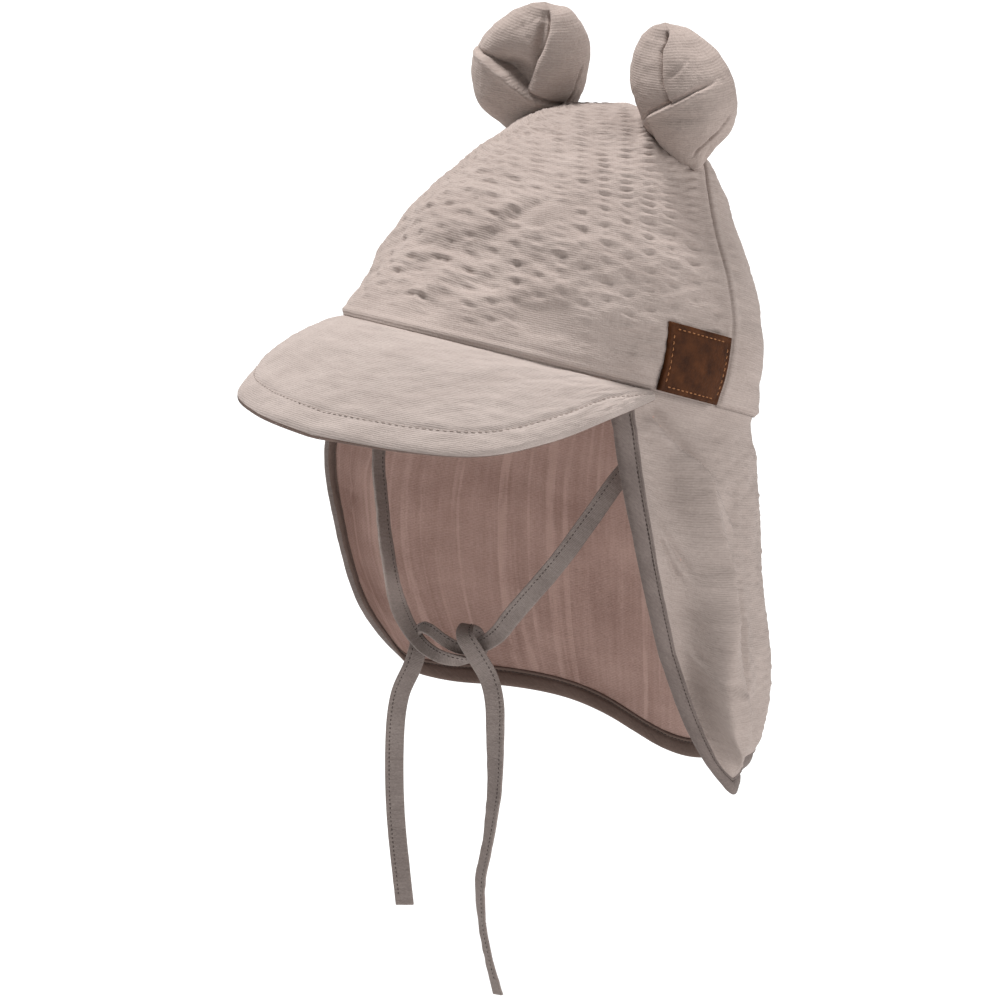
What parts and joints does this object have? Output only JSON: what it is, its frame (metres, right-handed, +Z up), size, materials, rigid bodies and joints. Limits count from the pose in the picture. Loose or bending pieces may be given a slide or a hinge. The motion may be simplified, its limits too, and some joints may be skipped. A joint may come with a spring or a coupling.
{
  "type": "legionnaire sun cap",
  "caption": "Child's sun cap with folded bear ears, a soft peak, a lined neck flap with a bound edge, a leather label and knotted chin ties.",
  "frame": {"origin": "the centre of the head opening, where the cap sits on the head that holds it up", "axes": "+Z up as worn, the peak towards -Y, the label and the left ear on +X; the rim is pitched back by 22 degrees about X"},
  "size_m": [0.1858, 0.2199, 0.3649],
  "materials": {
    "seersucker": "greige puckered cotton",
    "peak_cloth": "greige cotton, pressed smoother than the crown",
    "lining": "mauve-brown plain weave with slubs",
    "binding": "taupe cotton binding, matt",
    "tie": "taupe flat cotton tie, matt",
    "leather": "brown leather, stitched round its border"
  },
  "bodies": {
    "root": {"crown_front": "seersucker", "crown_back": "seersucker", "peak": "peak_cloth", "ear_left": "seersucker", "ear_right": "seersucker", "leather_label": "leather", "neck_flap": "seersucker", "flap_lining": "lining", "flap_binding": "binding", "tie_left": "tie", "tie_right": "tie", "tail_left": "tie", "tail_right": "tie", "tie_knot": "tie"}
  },
  "joints": []
}
